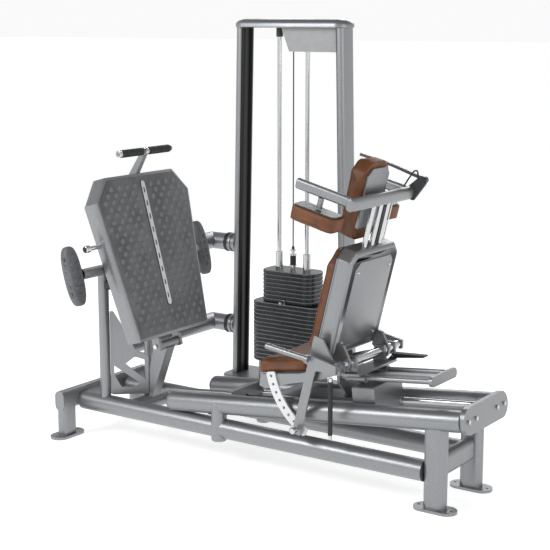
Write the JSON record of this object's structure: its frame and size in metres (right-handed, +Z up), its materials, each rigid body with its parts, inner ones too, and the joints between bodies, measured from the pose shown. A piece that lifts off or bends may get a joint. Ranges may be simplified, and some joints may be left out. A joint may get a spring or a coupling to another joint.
{
  "type": "leg press machine",
  "caption": "Seated leg press: a weight-stack tower drives a sliding seat trolley with reclining back and shoulder pads, facing a tilting studded foot plate.",
  "frame": {"origin": "on the floor, under the middle of the machine's footprint box", "axes": "+Z up, +X from the foot plate towards the back of the sled, +Y from the sled towards the weight tower"},
  "size_m": [2.1102, 1.507, 1.974],
  "materials": {
    "silver_coat": "metallic silver powder coat",
    "white_coat": "light silver enamel",
    "polished_steel": "polished chrome plating",
    "black_rubber": "moulded matte rubber",
    "tread_rubber": "studded grey rubber",
    "cast_weights": "black enamelled cast iron",
    "wire_rope": "coated steel rope",
    "nylon_sheave": "moulded nylon",
    "brown_leather": "tan upholstery leather"
  },
  "bodies": {
    "frame": {"base_tubes": "silver_coat", "front_beam": "silver_coat", "legs": "silver_coat", "foot_plates": "silver_coat", "rails": "silver_coat", "guide_rods": "polished_steel", "rail_end_plate": "silver_coat", "frame_bolts": "polished_steel", "rail_posts": "silver_coat", "rod_front_block": "silver_coat", "plate_posts": "silver_coat", "plate_gussets": "silver_coat", "hinge_pin": "polished_steel", "rubber_bumpers": "black_rubber", "link_tubes": "silver_coat", "tower_base": "silver_coat", "tower_uprights": "silver_coat", "tower_cap": "silver_coat", "pulley_cover": "silver_coat", "tower_rods": "polished_steel", "resting_plates": "cast_weights", "top_cable": "wire_rope"},
    "foot_plate": {"plate_shell": "silver_coat", "plate_tread": "tread_rubber", "plate_strip": "polished_steel", "plate_brackets": "silver_coat", "side_pads": "black_rubber", "t_handle": "silver_coat"},
    "tilt_release": {"tilt_knob": "polished_steel"},
    "trolley": {"trolley_block": "silver_coat", "trolley_bearings": "polished_steel", "slide_bars": "silver_coat", "sled_cable": "wire_rope"},
    "seat": {"seat_carrier": "silver_coat", "pivot_tube": "polished_steel", "sector_plate": "white_coat", "seat_cushion": "brown_leather", "hand_grips": "silver_coat"},
    "seat_release": {"seat_lever": "polished_steel"},
    "backrest": {"back_frame": "silver_coat", "back_shell": "silver_coat", "back_cushion": "brown_leather"},
    "index_pin": {"recline_pin": "polished_steel"},
    "shoulder_unit": {"crossbar": "silver_coat", "struts": "polished_steel", "arms": "silver_coat", "headrest": "brown_leather", "headrest_plate": "silver_coat", "lever_bracket": "silver_coat"},
    "hand_lever": {"release_lever": "polished_steel"},
    "pad_near": {"shoulder_pad_near": "brown_leather", "pad_plate_near": "polished_steel"},
    "pad_far": {"shoulder_pad_far": "brown_leather", "pad_plate_far": "polished_steel"},
    "stack": {"lifted_plates": "cast_weights", "stack_stem": "polished_steel", "stack_cable": "wire_rope"},
    "selector": {"selector_pin": "polished_steel"},
    "inner_pulley": {"pulley_inner": "nylon_sheave"},
    "outer_pulley": {"pulley_outer": "nylon_sheave"}
  },
  "joints": [
    {"name": "foot_plate_tilt", "type": "hinge", "parent": "frame", "child": "foot_plate", "pos_m": [-0.59075, -0.247, 0.45323], "axis": [0, 1, 0], "range_deg": [0, 18]},
    {"name": "tilt_knob_pull", "type": "slide", "parent": "foot_plate", "child": "tilt_release", "axis": [0, -1, 0], "range_m": [0, 0.015], "stiffness_N_per_m": 400},
    {"name": "trolley_slide", "type": "slide", "parent": "frame", "child": "trolley", "axis": [0.9947, 0, 0.1031], "range_m": [0, 0.38]},
    {"name": "seat_shift", "type": "slide", "parent": "trolley", "child": "seat", "axis": [0.9947, 0, 0.1031], "range_m": [0, 0.12]},
    {"name": "seat_lever_lift", "type": "hinge", "parent": "seat", "child": "seat_release", "pos_m": [0.54948, -0.108, 0.53094], "axis": [0, -1, 0], "range_deg": [0, 15]},
    {"name": "recline", "type": "hinge", "parent": "seat", "child": "backrest", "pos_m": [0.49, -0.247, 0.546], "axis": [0, 1, 0], "range_deg": [0, 42.7]},
    {"name": "index_pin_pull", "type": "slide", "parent": "backrest", "child": "index_pin", "axis": [0, -1, 0], "range_m": [-0.011, 0.012], "stiffness_N_per_m": 400},
    {"name": "shoulder_slide", "type": "slide", "parent": "backrest", "child": "shoulder_unit", "axis": [0.2419, 0, 0.9703], "range_m": [0, 0.08]},
    {"name": "hand_lever_squeeze", "type": "hinge", "parent": "shoulder_unit", "child": "hand_lever", "pos_m": [0.61105, 0.015, 1.2795], "axis": [0, -1, 0], "range_deg": [0, 9], "stiffness_Nm_per_rad": 6, "springref_deg": -22.92},
    {"name": "pad_near_tilt", "type": "hinge", "parent": "shoulder_unit", "child": "pad_near", "pos_m": [0.39548, -0.475, 1.19824], "axis": [0, 1, 0], "range_deg": [-8, 8]},
    {"name": "pad_far_tilt", "type": "hinge", "parent": "shoulder_unit", "child": "pad_far", "pos_m": [0.39548, -0.019, 1.19824], "axis": [0, 1, 0], "range_deg": [-8, 8]},
    {"name": "stack_lift", "type": "slide", "parent": "frame", "child": "stack", "axis": [0, 0, 1], "range_m": [0, 0.38], "deforming": ["stack_cable"]},
    {"name": "selector_pull", "type": "slide", "parent": "stack", "child": "selector", "axis": [0, -1, 0], "range_m": [0, 0.05]},
    {"name": "inner_pulley_spin", "type": "hinge", "parent": "frame", "child": "inner_pulley", "pos_m": [-0.432, 0.633, 1.82], "axis": [0, 1, 0], "range_deg": [0, 630]},
    {"name": "outer_pulley_spin", "type": "hinge", "parent": "frame", "child": "outer_pulley", "pos_m": [-0.216, 0.633, 1.82], "axis": [0, 1, 0], "range_deg": [0, 630]}
  ],
  "couplings": [
    {"joint": "stack_lift", "follows": "trolley_slide", "ratio": 1},
    {"joint": "inner_pulley_spin", "follows": "trolley_slide", "rad_per_m": 28.571},
    {"joint": "outer_pulley_spin", "follows": "trolley_slide", "rad_per_m": 28.571}
  ]
}
